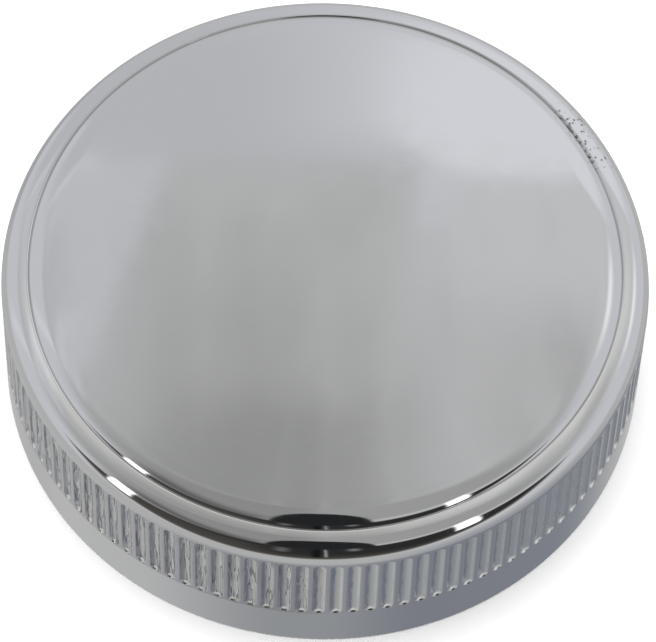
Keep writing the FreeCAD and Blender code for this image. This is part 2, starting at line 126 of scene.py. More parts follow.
class ShellMesh:
    """A mesh laid in rings round Z. A ring states how steep its normals are, or None to average them."""

    def __init__(self):
        self.points = []
        self.faces = []
        self.corners = []
        self.slots = []

    def ring(self, radius, height, columns):
        turns = 2 * np.pi * np.arange(columns) / columns - math.pi / GROOVES + math.radians(GROOVE_FIRST)
        return self.ring_at(np.full(columns, radius), np.full(columns, height), turns)

    def ring_at(self, radii, heights, turns):
        first = len(self.points)
        for radius, height, turn in zip(radii, heights, turns):
            self.points.append((radius * math.cos(turn), radius * math.sin(turn), height))
        return (np.arange(first, len(self.points)), np.asarray(turns))

    def face(self, corners, slot, inside):
        """Corners are (vertex, turn, steepness), anticlockwise from outside."""
        ordered = corners[::-1] if inside else corners
        self.faces.append([vertex for vertex, _, _ in ordered])
        for _, turn, steep in ordered:
            if steep is None:
                self.corners.append(None)
            else:
                level = math.cos(math.radians(steep))
                rise = math.sin(math.radians(steep))
                self.corners.append((level * math.cos(turn), level * math.sin(turn), rise))
        self.slots.append(slot)

    def stitch(self, low, low_steep, high, high_steep, slot=0, inside=False):
        """Joins two rings that have as many points, or one twice as many as the other."""
        lower = [(v, t, low_steep) for v, t in zip(*low)]
        upper = [(v, t, high_steep) for v, t in zip(*high)]
        lower.append(lower[0])
        upper.append(upper[0])
        if len(lower) == len(upper):
            for j in range(len(lower) - 1):
                self.face([lower[j], lower[j + 1], upper[j + 1], upper[j]], slot, inside)
        elif len(lower) > len(upper):
            for j in range(len(upper) - 1):
                a, b, c = lower[2 * j], lower[2 * j + 1], lower[2 * j + 2]
                self.face([a, b, upper[j]], slot, inside)
                self.face([b, upper[j + 1], upper[j]], slot, inside)
                self.face([b, c, upper[j + 1]], slot, inside)
        else:
            for j in range(len(lower) - 1):
                a, b, c = upper[2 * j], upper[2 * j + 1], upper[2 * j + 2]
                self.face([lower[j], b, a], slot, inside)
                self.face([lower[j], lower[j + 1], b], slot, inside)
                self.face([lower[j + 1], c, b], slot, inside)

    def climb(self, ring, steep, rows, inside=False):
        """Stitches on one smooth ring after another. Rows are (radius, height, steepness)."""
        for radius, height, slope in rows:
            upper = self.ring(radius, height, SMOOTH_COLUMNS)
            self.stitch(ring, steep, upper, slope, inside=inside)
            ring, steep = upper, slope
        return ring, steep

    def close(self, ring, steep, height, inside=False):
        """A fan from a ring to the axis."""
        self.points.append((0.0, 0.0, height))
        apex = len(self.points) - 1
        vertices, turns = ring
        for j in range(len(vertices)):
            k = (j + 1) % len(vertices)
            centre = (apex, turns[j], -90 if inside else 90)
            self.face([(vertices[j], turns[j], steep), (vertices[k], turns[k], steep), centre], 0, inside)

    def build(self, name, scale):
        mesh = bpy.data.meshes.new(name)
        points = np.array(self.points) * scale
        mesh.from_pydata(points.tolist(), [], self.faces)
        mesh.polygons.foreach_set("material_index", self.slots)
        mesh.shade_smooth()
        mesh.normals_split_custom_set(self.corner_normals(points))
        shell = bpy.data.objects.new(name, mesh)
        bpy.context.scene.collection.objects.link(shell)
        return shell

    def corner_normals(self, points):
        """The stated normals, and area-weighted ones where a ring states none."""
        totals = np.zeros_like(points)
        for face in self.faces:
            a, b, c, d = points[face[0]], points[face[1]], points[face[2]], points[face[-1]]
            totals[face] += np.cross(c - a, d - b)
        totals /= np.maximum(np.linalg.norm(totals, axis=1, keepdims=True), 1e-30)
        order = [vertex for face in self.faces for vertex in face]
        return [totals[v].tolist() if n is None else n for v, n in zip(order, self.corners)]


def arc_rows(centre, radius, first, last, step, inset=0.0):
    """(r, z, steepness) along a rolled edge."""
    count = max(1, round(abs(last - first) / step))
    rows = []
    for i in range(count + 1):
        steep = first + (last - first) * i / count
        rows.append((*on_roll(centre, radius - inset, steep), steep))
    return rows


def dome_rows(inset):
    """The disc's tight edge, wide bend and dome, each tangent to the next."""
    bend_centre = on_roll(EDGE_CENTRE, EDGE_RADIUS - BEND_RADIUS, BEND_ANGLE)
    reach = DOME_RADIUS - BEND_RADIUS
    tilt = math.degrees(math.asin(bend_centre[0] / reach))
    dome_centre = on_roll(bend_centre, -reach, 90 - tilt)
    bend = arc_rows(bend_centre, BEND_RADIUS, BEND_ANGLE, 90 - tilt, EDGE_STEP, inset)
    dome = []
    for radius in (*DOME_RINGS, *DOME_HALVINGS):
        lean = math.degrees(math.asin(radius / (DOME_RADIUS - inset)))
        dome.append((*on_roll(dome_centre, DOME_RADIUS - inset, 90 - lean), 90 - lean))
    return bend, dome, dome_centre[1] + DOME_RADIUS - inset


def groove_rows():
    """Rings across the grip band: points gather round each groove's lip and spread over the land between."""
    half_width = math.sqrt(GROOVE_RADIUS**2 - (GROOVE_RADIUS - GROOVE_DEPTH) ** 2)
    sink = GROOVE_RADIUS - GROOVE_DEPTH
    pitch = 2 * math.pi * CAP_RADIUS / GROOVES
    arc = [GROOVE_RADIUS * math.sin(math.radians(a)) for a in GROOVE_ARC_ANGLES]
    inside = half_width - LIP_INSIDE
    across = [-inside, *arc, inside]
    rows = []
    ends = [
        (GROOVE_LOW + half_width, -1, GROOVE_END_ANGLES),
        (GROOVE_HIGH - half_width, 1, GROOVE_END_ANGLES[::-1]),
    ]
    for centre, side, angles in ends:
        for angle in angles:
            narrow = math.cos(math.radians(angle))
            away = half_width * math.sin(math.radians(angle))
            lip = half_width * narrow
            offsets = [-pitch / 2, -lip - LIP_OUTSIDE, -lip]
            offsets += [s * narrow for s in across]
            offsets += [lip, lip + LIP_OUTSIDE]
            squares = [GROOVE_RADIUS**2 - (s * narrow) ** 2 - away**2 for s in across]
            depths = [0, 0, LIP_DROP]
            depths += [math.sqrt(max(square, 0)) - sink for square in squares]
            depths += [LIP_DROP, 0]
            rows.append((centre + side * away, offsets, depths))
    return rows


def surface_radius(height):
    """The radius of the plain side and roll at a height."""
    above = max(0.0, height - ROLL_CENTRE[1])
    return ROLL_CENTRE[0] + math.sqrt(ROLL_RADIUS**2 - above**2)


def grip_ring(shell, row):
    height, offsets, depths = row
    surface = surface_radius(height)
    radii = []
    turns = []
    for groove in range(GROOVES):
        middle = 2 * math.pi * groove / GROOVES + math.radians(GROOVE_FIRST)
        for offset, depth in zip(offsets, depths):
            radii.append(min(surface, CAP_RADIUS - depth) if depth > LIP_DROP else surface - depth)
            turns.append(middle + offset / CAP_RADIUS)
    return shell.ring_at(radii, [height] * len(radii), turns)


def outside(shell, rim):
    """The side with its grip band, the roll, the line, and the disc, from the rim up."""
    ring, steep = rim
    grip_low = GROOVE_LOW - GROOVE_MARGIN
    grip_high = GROOVE_HIGH + GROOVE_MARGIN
    for height, columns in (*SKIRT_RINGS, (grip_low, GRIP_COLUMNS)):
        upper = shell.ring(CAP_RADIUS, height, columns)
        shell.stitch(ring, steep, upper, 0)
        ring, steep = upper, 0
    for row in groove_rows():
        upper = grip_ring(shell, row)
        shell.stitch(ring, steep, upper, None, slot=1)
        ring, steep = upper, None
    start = math.degrees(math.asin((grip_high - ROLL_CENTRE[1]) / ROLL_RADIUS))
    roll = arc_rows(ROLL_CENTRE, ROLL_RADIUS, start, LINE_ANGLE, ROLL_STEP)
    columns = GRIP_COLUMNS
    for radius, height, slope in roll:
        upper = shell.ring(radius, height, columns)
        shell.stitch(ring, steep, upper, slope)
        ring, steep = upper, slope
        columns = max(SMOOTH_COLUMNS, columns // 2)
    line, _ = shell.climb(ring, steep, line_rows(roll[-1]))
    edge_start = math.degrees(math.asin((LINE_POINT[1] - EDGE_CENTRE[1]) / EDGE_RADIUS))
    edge = arc_rows(EDGE_CENTRE, EDGE_RADIUS, edge_start, BEND_ANGLE, EDGE_STEP)
    bend, dome, top = dome_rows(0.0)
    ring, steep = shell.climb(line, edge_start, edge[1:] + bend[1:])
    finish_disc(shell, ring, steep, dome, top, False)


def line_rows(last):
    """The small hollow arc between the roll and the sharp line, through three points."""
    start = np.array(last[:2])
    middle = np.array(LINE_MIDDLE)
    end = np.array(LINE_POINT)
    system = 2 * np.array([middle - start, end - start])
    centre = np.linalg.solve(system, [middle @ middle - start @ start, end @ end - start @ start])
    radius = np.linalg.norm(start - centre)
    first = math.degrees(math.atan2(*(start - centre)[::-1]))
    final = math.degrees(math.atan2(*(end - centre)[::-1]))
    rows = []
    for i in range(1, LINE_STEPS + 1):
        angle = first + (final - first) * i / LINE_STEPS
        rows.append((*on_roll(centre, radius, angle), angle))
    return rows


def finish_disc(shell, ring, steep, dome, top, under):
    """The dome, with half as many columns at each of its innermost rings, and the fan at its middle."""
    columns = len(ring[0])
    for radius, height, slope in dome:
        slope = slope + 180 if under else slope
        if radius <= DOME_HALVINGS[0] + 1:
            columns //= 2
        upper = shell.ring(radius, height, columns)
        shell.stitch(ring, steep, upper, slope, inside=under)
        ring, steep = upper, slope
    shell.close(ring, steep, top, under)


def inside(shell, rim):
    """The wall's inner side and the disc's underside, from the rim up."""
    wall = [(CAP_RADIUS - WALL, height, 0) for height in INNER_WALL_RINGS]
    roll = arc_rows(ROLL_CENTRE, ROLL_RADIUS, 0, 90, INNER_ROLL_STEP, WALL)
    edge = arc_rows(EDGE_CENTRE, EDGE_RADIUS, 0, BEND_ANGLE, INNER_EDGE_STEP, WALL)
    bend, dome, top = dome_rows(WALL)
    rows = [(radius, height, slope + 180) for radius, height, slope in wall + roll + edge + bend[1:]]
    ring, steep = shell.climb(*rim, rows, inside=True)
    finish_disc(shell, ring, steep, dome, top, True)


def make_shell():
    shell = ShellMesh()
    outer_round = arc_rows((CAP_RADIUS - RIM_ROUND, RIM_ROUND), RIM_ROUND, -90, 0, RIM_STEP)
    inner_round = arc_rows((CAP_RADIUS - WALL + RIM_ROUND, RIM_ROUND), RIM_ROUND, -90, -180, RIM_STEP)
    outer_first = shell.ring(*outer_round[0][:2], SMOOTH_COLUMNS)
    inner_first = shell.ring(*inner_round[0][:2], SMOOTH_COLUMNS)
    shell.stitch(inner_first, -90, outer_first, -90)
    outer_rim = shell.climb(outer_first, -90, outer_round[1:])
    inner_rim = shell.climb(inner_first, -90, inner_round[1:], inside=True)
    outside(shell, outer_rim)
    inside(shell, inner_rim)
    return shell.build("chrome_shell", MM)


def coil(name, radius, wire, low, high, turns):
    """A round-wire spring, in millimetres. Its pitch shrinks over the first and last turns."""
    count = round(turns * COIL_STEPS_PER_TURN)
    vertices = []
    faces = []
    travel = [0.0]
    for i in range(count):
        turn = (i + 0.5) / COIL_STEPS_PER_TURN
        from_end = min(turn, turns - turn, 1.0)
        travel.append(travel[-1] + COIL_END_PITCH + (1 - COIL_END_PITCH) * from_end)
    bottom = low + wire
    rise = high - low - 2 * wire
    for i, share in enumerate(travel):
        angle = 2 * math.pi * i / COIL_STEPS_PER_TURN
        height = bottom + rise * share / travel[-1]
        for j in range(COIL_SIDES):
            around = 2 * math.pi * j / COIL_SIDES
            reach = radius + wire * math.cos(around)
            level = height + wire * math.sin(around)
            vertices.append((reach * math.cos(angle) * MM, reach * math.sin(angle) * MM, level * MM))
    for i in range(count):
        for j in range(COIL_SIDES):
            k = (j + 1) % COIL_SIDES
            a, b = i * COIL_SIDES, (i + 1) * COIL_SIDES
            faces.append((a + j, b + j, b + k, a + k))
    last = count * COIL_SIDES
    faces.append(tuple(range(COIL_SIDES)))
    faces.append(tuple(range(last + COIL_SIDES - 1, last - 1, -1)))
    mesh = bpy.data.meshes.new(name)
    mesh.from_pydata(vertices, [], faces)
    mesh.shade_smooth()
    for end in (-1, -2):
        mesh.polygons[len(faces) + end].use_smooth = False
    spring = bpy.data.objects.new(name, mesh)
    bpy.context.scene.collection.objects.link(spring)
    return spring


class Nodes:
    """Builds a node tree from short calls. An input may be a number, a tuple or another node's output."""

    MIX_COLOURS = (6, 7)
    MIX_RESULT = 2

    def __init__(self, tree):
        self.tree = tree
        self.tree.nodes.clear()

    def add(self, kind, **settings):
        node = self.tree.nodes.new(kind)
        for key, value in settings.items():
            setattr(node, key, value)
        return node

    def feed(self, socket, value):
        if isinstance(value, bpy.types.NodeSocket):
            self.tree.links.new(value, socket)
        else:
            socket.default_value = value

    def math(self, operation, *values):
        node = self.add("ShaderNodeMath", operation=operation)
        for socket, value in zip(node.inputs, values):
            self.feed(socket, value)
        return node.outputs[0]

    def product(self, first, *others):
        for other in others:
            first = self.math("MULTIPLY", first, other)
        return first

    def apart(self, value, middle):
        """How far a value lies from the middle, on either side."""
        return self.math("ABSOLUTE", self.math("SUBTRACT", value, middle))

    def ramp(self, value, low, high, start=0.0, end=1.0):
        """A smooth step from start to end as value goes from low to high."""
        node = self.add("ShaderNodeMapRange", interpolation_type="SMOOTHSTEP")
        for socket, item in zip(node.inputs, (value, low, high, start, end)):
            self.feed(socket, item)
        return node.outputs[0]

    def plateau(self, value, foot, top, top_end, foot_end):
        """0 outside the feet and 1 between the tops."""
        return self.product(self.ramp(value, foot, top), self.ramp(value, foot_end, top_end))

    def mix(self, share, first, second):
        node = self.add("ShaderNodeMix", data_type="RGBA")
        self.feed(node.inputs[0], share)
        for index, colour in zip(self.MIX_COLOURS, (first, second)):
            self.feed(node.inputs[index], colour)
        return node.outputs[self.MIX_RESULT]

    def noise(self, vector, scale, detail=2.0, roughness=0.5):
        node = self.add("ShaderNodeTexNoise")
        self.feed(node.inputs["Vector"], vector)
        node.inputs["Scale"].default_value = scale
        node.inputs["Detail"].default_value = detail
        node.inputs["Roughness"].default_value = roughness
        return node.outputs[0]

    def bump(self, height, relief, normal=None):
        """Relief is the height in millimetres that 1 stands for."""
        node = self.add("ShaderNodeBump")
        node.inputs["Distance"].default_value = relief * MM
        self.feed(node.inputs["Height"], height)
        if normal is not None:
            self.feed(node.inputs["Normal"], normal)
        return node.outputs[0]

    def surface(self, **inputs):
        shader = self.add("ShaderNodeBsdfPrincipled")
        for key, value in inputs.items():
            self.feed(shader.inputs[key.replace("_", " ").title()], value)
        output = self.add("ShaderNodeOutputMaterial")
        self.tree.links.new(shader.outputs[0], output.inputs[0])
        return shader


def new_material(name):
    material = bpy.data.materials.new(name)
    material.use_nodes = True
    return material, Nodes(material.node_tree)


def grey(level, tint=(1.0, 1.0, 1.0)):
    return (level * tint[0], level * tint[1], level * tint[2], 1.0)


def object_point(n):
    """The point on the object, in millimetres."""
    scaled = n.add("ShaderNodeVectorMath", operation="SCALE")
    n.feed(scaled.inputs[0], n.add("ShaderNodeTexCoord").outputs["Object"])
    scaled.inputs["Scale"].default_value = 1 / MM
    return scaled.outputs[0]


def split(n, point):
    """The x, y and z of a point or a direction."""
    node = n.add("ShaderNodeSeparateXYZ")
    n.feed(node.inputs[0], point)
    return tuple(node.outputs)


def hypotenuse(n, x, y):
    return n.math("SQRT", n.math("ADD", n.product(x, x), n.product(y, y)))


def degrees_round(n, x, y):
    """The turn about the cap's axis, anticlockwise from +X."""
    return n.math("DEGREES", n.math("ARCTAN2", y, x))


def vector(n, x, y, z):
    node = n.add("ShaderNodeCombineXYZ")
    for socket, value in zip(node.inputs, (x, y, z)):
        n.feed(socket, value)
    return node.outputs[0]


CHROME = (0.660, 0.664, 0.672, 1.0)
LEDGE_PAINTED_LIGHT = (0.865, 0.862, 0.85, 1.0)
FLOOR_PAINTED_LIGHT = (0.79, 0.79, 0.77, 1.0)
FLANK_PAINTED_SHADE = (0.45, 0.462, 0.50, 1.0)
DULL_CHROME = (0.27, 0.275, 0.285, 1.0)
WRINKLE = (0.13, 0.13, 0.135, 1.0)
LINE_RADIUS = 34.95


def chrome_polished():
    """Mirror chrome with faint haze and polishing waves, a painted light band just outside the line in front,
    and a small pitted patch on the rolls."""
    material, n = new_material("chrome_polished")
    point = object_point(n)
    x, y, z = split(n, point)
    radius = hypotenuse(n, x, y)
    haze = n.noise(point, 0.35, 4.0, 0.6)
    scuffs = n.noise(vector(n, n.product(x, 0.12), y, z), 3.0, 5.0, 0.7)
    roughness = n.ramp(n.math("ADD", haze, n.product(scuffs, 0.5)), 0.5, 1.1, 0.035, 0.075)
    waves = n.bump(n.noise(point, 0.12, 1.0), 0.003)
    patch = n.plateau(degrees_round(n, x, y), 23, 27, 38, 42)
    patch = n.product(patch, n.plateau(radius, 33.8, 34.8, 37.0, 37.6))
    cells = n.add("ShaderNodeTexVoronoi")
    n.feed(cells.inputs["Vector"], point)
    cells.inputs["Scale"].default_value = 2.2
    pit_shapes = n.ramp(cells.outputs["Distance"], 0.42, 0.12)
    clusters = n.ramp(n.noise(point, 1.1, 2.0), 0.46, 0.56)
    pits = n.product(pit_shapes, clusters, patch)
    normal = n.bump(n.product(pits, -1.0), 0.08, waves)
    in_front = n.product(n.ramp(z, 20.0, 21.0), n.ramp(y, 10.0, -16.0))
    # Painted light: the chrome's colour is made brighter in a band just outside the line, on the front only.
    lit_ledge = n.product(n.plateau(radius, LINE_RADIUS, 35.05, 35.3, 36.1), in_front)
    stains = n.ramp(n.noise(point, 1.7, 3.0), 0.46, 0.6)
    smear = n.product(stains, patch, n.ramp(n.apart(radius, LINE_RADIUS), 0.5, 0.15))
    colour = n.mix(lit_ledge, CHROME, LEDGE_PAINTED_LIGHT)
    colour = n.mix(n.product(smear, 0.6), colour, grey(0.2))
    colour = n.mix(n.product(pits, 0.8), colour, grey(0.05))
    n.surface(base_color=colour, metallic=1.0, roughness=roughness, normal=normal)
    return material


def chrome_grip():
    """Satin chrome over a rolled band: streaks run up the grooves, one flank of each is painted darker as
    shade and the floor painted lighter as light, the plating is dull and wrinkled over a stretch at the left
    of the front with painted gleams along the wrinkles, and the grooves' lower ends carry a painted glint."""
    material, n = new_material("chrome_grip")
    point = object_point(n)
    x, y, z = split(n, point)
    turn = degrees_round(n, x, y)
    around = n.product(turn, math.pi / 180 * CAP_RADIUS)
    streaks = n.noise(vector(n, around, n.product(z, 0.1), 0.0), 2.6, 1.5, 0.5)
    wander = n.noise(vector(n, around, n.product(z, 0.5), 3.0), 0.9, 3.0, 0.6)
    wrinkles = n.noise(vector(n, around, n.product(z, 0.06), 7.0), 2.1, 2.0, 0.5)
    grain = n.noise(point, 3.2, 3.0, 0.6)
    # The phase runs from 0 to 1 over each groove, with the groove's middle at 0.5
    along = n.math("DIVIDE", n.math("SUBTRACT", turn, GROOVE_FIRST), 360 / GROOVES)
    along = n.math("ADD", along, n.ramp(wander, 0.2, 0.8, -0.08, 0.08))
    phase = n.math("FRACT", n.math("ADD", along, 100.5))
    sunk = n.ramp(hypotenuse(n, x, y), CAP_RADIUS - 0.01, CAP_RADIUS - 0.08)
    flank = n.product(n.plateau(phase, 0.09, 0.19, 0.31, 0.43), sunk)
    floor = n.product(n.plateau(phase, 0.35, 0.46, 0.72, 0.88), sunk)
    dull = n.plateau(turn, -172, -150, -98, -84)
    ridge = n.ramp(n.apart(wrinkles, 0.5), 0.04, 0.01)
    gleam = n.ramp(n.apart(wrinkles, 0.43), 0.028, 0.006)
    wrinkled = n.product(ridge, dull, n.ramp(sunk, 0.0, 1.0, 0.25, 1.0))
    low_end = n.ramp(z, GROOVE_LOW + 0.6, GROOVE_LOW + 0.35)
    glint = n.product(low_end, sunk, n.ramp(n.apart(phase, 0.47), 0.16, 0.08))
    # Painted light and shade: each groove's floor is painted lighter and one flank darker, as the light falls
    # on them.
    tone = n.mix(floor, CHROME, FLOOR_PAINTED_LIGHT)
    tone = n.mix(n.product(flank, n.ramp(streaks, 0.2, 0.75, 1.0, 0.6)), tone, FLANK_PAINTED_SHADE)
    tone = n.mix(n.product(dull, 0.34), tone, DULL_CHROME)
    # Painted highlight: a near-white line along one side of each wrinkle.
    tone = n.mix(n.product(gleam, dull, sunk, 0.5), tone, grey(0.92))
    tone = n.mix(n.product(wrinkled, 0.7), tone, WRINKLE)
    # Painted highlight: the grooves' lower ends are painted near white as a glint.
    tone = n.mix(n.product(glint, 0.8), tone, grey(0.9))
    roughness = n.math("ADD", n.ramp(grain, 0.3, 0.7, 0.13, 0.16), n.product(floor, 0.12))
    roughness = n.product(roughness, n.ramp(glint, 0.0, 1.0, 1.0, 0.3))
    height = n.math("ADD", n.product(streaks, n.ramp(dull, 0.0, 1.0, 0.3, 0.7)), wrinkled)
    n.surface(base_color=tone, metallic=1.0, roughness=roughness, normal=n.bump(height, 0.02))
    return material


def plated(name, colour, stain, roughness):
    """Plated sheet with a faint mottle and stain."""
    material, n = new_material(name)
    point = object_point(n)
    mottle = n.noise(point, 0.5, 5.0, 0.65)
    grain = n.noise(point, 6.0, 3.0)
    tone = n.mix(n.ramp(mottle, 0.4, 0.65), colour, stain)
    rough = n.ramp(grain, 0.3, 0.7, roughness * 0.85, roughness * 1.25)
    n.surface(base_color=tone, metallic=1.0, roughness=rough, normal=n.bump(grain, 0.006))
    return material


def turned(name, colour, stain, roughness):
    """Lathe-turned metal: fine rings round the axis."""
    material, n = new_material(name)
    point = object_point(n)
    x, y, z = split(n, point)
    rings = n.noise(vector(n, hypotenuse(n, x, y), n.product(degrees_round(n, x, y), 0.004), z), 9.0, 3.0, 0.7)
    mottle = n.noise(point, 0.4, 4.0, 0.6)
    tone = n.mix(n.ramp(mottle, 0.42, 0.68), colour, stain)
    rough = n.ramp(rings, 0.3, 0.7, roughness * 0.8, roughness * 1.3)
    n.surface(base_color=tone, metallic=1.0, roughness=rough, normal=n.bump(rings, 0.006))
    return material


def drawn_wire():
    """Oiled spring wire with fine drawing marks."""
    material, n = new_material("spring_steel")
    point = object_point(n)
    x, y, z = split(n, point)
    along = n.product(degrees_round(n, x, y), 0.02)
    marks = n.noise(vector(n, n.product(hypotenuse(n, x, y), 6.0), along, n.product(z, 6.0)), 2.0, 3.0)
    film = n.noise(point, 0.9, 3.0, 0.6)
    tone = n.mix(n.ramp(film, 0.4, 0.65), (0.30, 0.31, 0.33, 1), (0.42, 0.40, 0.37, 1))
    rough = n.ramp(marks, 0.3, 0.7, 0.22, 0.36)
    n.surface(base_color=tone, metallic=1.0, roughness=rough, normal=n.bump(marks, 0.004))
    return material


def rubber():
    """Black nitrile with a dusty bloom and a fine moulded grain."""
    material, n = new_material("nitrile")
    point = object_point(n)
    grain = n.noise(point, 7.0, 3.0, 0.6)
    bloom = n.noise(point, 0.5, 5.0, 0.65)
    tone = n.mix(n.ramp(bloom, 0.45, 0.7), (0.018, 0.018, 0.019, 1), (0.045, 0.044, 0.042, 1))
    rough = n.ramp(grain, 0.3, 0.7, 0.55, 0.72)
    shader = n.surface(base_color=tone, roughness=rough, normal=n.bump(grain, 0.02))
    shader.inputs["Sheen Weight"].default_value = 0.15
    shader.inputs["Sheen Roughness"].default_value = 0.5
    return material


def acetal():
    """Natural white acetal, a little translucent."""
    material, n = new_material("acetal")
    point = object_point(n)
    x, y, z = split(n, point)
    rings = n.noise(vector(n, hypotenuse(n, x, y), 0.0, z), 5.0, 2.0)
    cloud = n.noise(point, 0.4, 3.0)
    tone = n.mix(n.ramp(cloud, 0.4, 0.65), (0.80, 0.79, 0.75, 1), (0.72, 0.70, 0.64, 1))
    rough = n.ramp(rings, 0.3, 0.7, 0.32, 0.45)
    shader = n.surface(base_color=tone, roughness=rough, normal=n.bump(rings, 0.004))
    shader.inputs["Subsurface Weight"].default_value = 0.1
    shader.inputs["Subsurface Radius"].default_value = (0.001, 0.001, 0.001)
    return material


MATERIALS = {
    "chrome_plate": chrome_polished(),
    "zinc_steel": plated("zinc_steel", (0.56, 0.57, 0.58, 1), (0.44, 0.44, 0.42, 1), 0.30),
    "stainless": turned("stainless", (0.58, 0.57, 0.55, 1), (0.50, 0.49, 0.47, 1), 0.24),
    "spring_steel": drawn_wire(),
    "brass": turned("brass", (0.74, 0.56, 0.27, 1), (0.55, 0.38, 0.17, 1), 0.28),
    "nitrile": rubber(),
    "acetal": acetal(),
}
SLOT_OF = {part["node"]: part["material_slot"] for part in frame["record"]["subparts"]}


def dress(piece, material):
    piece.data.materials.clear()
    piece.data.materials.append(material)


for node, cad_object in frame["nodes"].items():
    dress(cad_object, MATERIALS[SLOT_OF[node]])

shell_piece = make_shell()
for finish in (MATERIALS["chrome_plate"], chrome_grip()):
    shell_piece.data.materials.append(finish)
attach(shell_piece, "cap")
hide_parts("cap_shell")


def place_spring(node, wire, turns, body):
    """A spring in its CAD node's room, parented to the body that carries it."""
    low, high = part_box(node)
    piece = coil(node + "_wire", high.x / MM - wire, wire, low.z / MM, high.z / MM, turns)
    dress(piece, MATERIALS["spring_steel"])
    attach(piece, body)
    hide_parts(node)
    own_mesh(piece)


place_spring("gasket_spring", 0.7, 2.5, "gasket_unit")
place_spring("pressure_spring", 0.5, 3.5, "pressure_valve")
place_spring("vacuum_spring", 0.3, 4.0, "vacuum_valve")

# Camera
CAMERA_DISTANCE = 0.57296
CAMERA_HEIGHT_ANGLE = 59.7
CAMERA_ROLL = -2.05
CAMERA_LENS = 267.8
AIM = Vector((0.0, 0.0, 0.022))
AIM_RIGHT = -0.00043
AIM_UP = -0.01158


def place_camera():
    """Looks at the disc's centre from the front, with the disc a little above the middle of the picture."""
    lift = math.radians(CAMERA_HEIGHT_ANGLE)
    back = Vector((0.0, -math.cos(lift), math.sin(lift)))
    right = Vector((1.0, 0.0, 0.0))
    up = back.cross(right)
    frame_axes = Matrix((right, up, -back))
    roll = Matrix.Rotation(math.radians(CAMERA_ROLL), 3, "Z")
    aim = Vector((AIM_RIGHT, -AIM_UP, 1.0)).normalized()
    swing = Vector((0.0, 0.0, 1.0)).rotation_difference(aim).to_matrix()
    rows = swing @ roll @ frame_axes
    axes = Matrix((rows[0], rows[1], -rows[2])).transposed()
    camera = bpy.data.objects.new("camera", bpy.data.cameras.new("camera"))
    camera.data.lens = CAMERA_LENS
    camera.data.clip_start = 0.01
    camera.data.clip_end = 10.0
    camera.matrix_world = Matrix.Translation(AIM + back * CAMERA_DISTANCE) @ axes.to_4x4()
    bpy.context.scene.collection.objects.link(camera)
    bpy.context.scene.camera = camera


# Studio: a light tent over a table, open in front where the camera stands, with a tall lamp on each side
# of the gap. A direction is its turn, in degrees to the right of the front, and its lift above the table.
COOL = (0.985, 0.99, 1.035)
BLUE = (0.95, 1.0, 1.07)
WARM = (1.06, 1.0, 0.88)
NEUTRAL = (0.998, 1.0, 0.992)

# The disc mirrors the roof's direction (x, y, z) at DISC_REACH * x / z millimetres across and
# DISC_REACH * (y / z - DISC_LEAN) up from its centre.
DISC_REACH = 254.7
DISC_LEAN = 0.5843
DISC_RADIUS = 31.5


def mirrored(level, tint=(1.0, 1.0, 1.0)):
    """The light that polished chrome shows at this brightness, of 255 on the sRGB curve."""
    light = ((level / 255 + 0.055) / 1.055) ** 2.4 / CHROME[1]
    return grey(light, tint)


class Sky(Nodes):
    """A world built up in layers over a base colour."""

    def start(self, colour):
        self.colour = colour

    def layer(self, mask, tone):
        self.colour = self.mix(mask, self.colour, tone)

    def window(self, across, up, box, soft_across, soft_up):
        """1 inside a window of directions, 0 outside it, soft at the edges."""
        left, right, low, high = box
        return self.product(self.band(across, left, right, soft_across), self.band(up, low, high, soft_up))

    def band(self, value, low, high, soft):
        return self.plateau(value, low - soft, low + soft, high - soft, high + soft)


def build_world():
    world = bpy.data.worlds.new("light_tent")
    world.use_nodes = True
    bpy.context.scene.world = world
    n = Sky(world.node_tree)
    x, y, z = split(n, n.add("ShaderNodeTexCoord").outputs["Generated"])
    turn = n.math("DEGREES", n.math("ARCTAN2", x, n.product(y, -1.0)))
    lift = n.math("DEGREES", n.math("ARCSINE", z))
    n.start(mirrored(190, COOL))
    tent_walls(n, x, turn, lift)
    table(n, turn, lift)
    tent_roof(n, x, y, z, turn, lift)
    front_gap(n, turn, lift)
    background = n.add("ShaderNodeBackground")
    n.feed(background.inputs[0], n.colour)
    output = n.add("ShaderNodeOutputWorld")
    n.tree.links.new(background.outputs[0], output.inputs[0])


def tent_walls(n, x, turn, lift):
    """The greyer top, a light fold on each side, and the wall behind."""
    n.layer(n.ramp(lift, 38, 60), mirrored(181, COOL))
    n.layer(n.window(turn, lift, (-109, -104, 4, 46), 4.0, 10), mirrored(204, COOL))
    n.layer(n.window(turn, lift, (112, 133, 31, 44), 8.0, 6), mirrored(226))
    behind = n.mix(n.ramp(x, -0.3, 0.3), mirrored(179, COOL), mirrored(193, COOL))
    n.layer(n.window(n.math("ABSOLUTE", turn), lift, (147, 200, -30, 52), 2.0, 12), behind)


def table(n, turn, lift):
    """The table top: light far off and at the left, bluer and darker near the cap and at the right."""
    n.layer(n.ramp(lift, -4, -12), mirrored(171, (1.0, 1.0, 0.995)))
    n.layer(n.product(n.ramp(lift, -14, -32), n.band(turn, 28, 88, 18)), mirrored(152, BLUE))
    n.layer(n.product(n.ramp(lift, -10, -16), n.band(turn, -158, -130, 10)), mirrored(158, COOL))
    near = n.ramp(lift, -34, -54)
    n.layer(near, mirrored(171))
    n.layer(n.product(near, n.ramp(n.math("ABSOLUTE", turn), 105, 135)), mirrored(160))
    n.layer(n.product(near, n.band(turn, -42, 134, 32)), mirrored(141, (0.965, 1.0, 1.04)))
    n.layer(n.product(near, n.band(turn, 20, 118, 22)), mirrored(121, (0.955, 1.005, 1.14)))


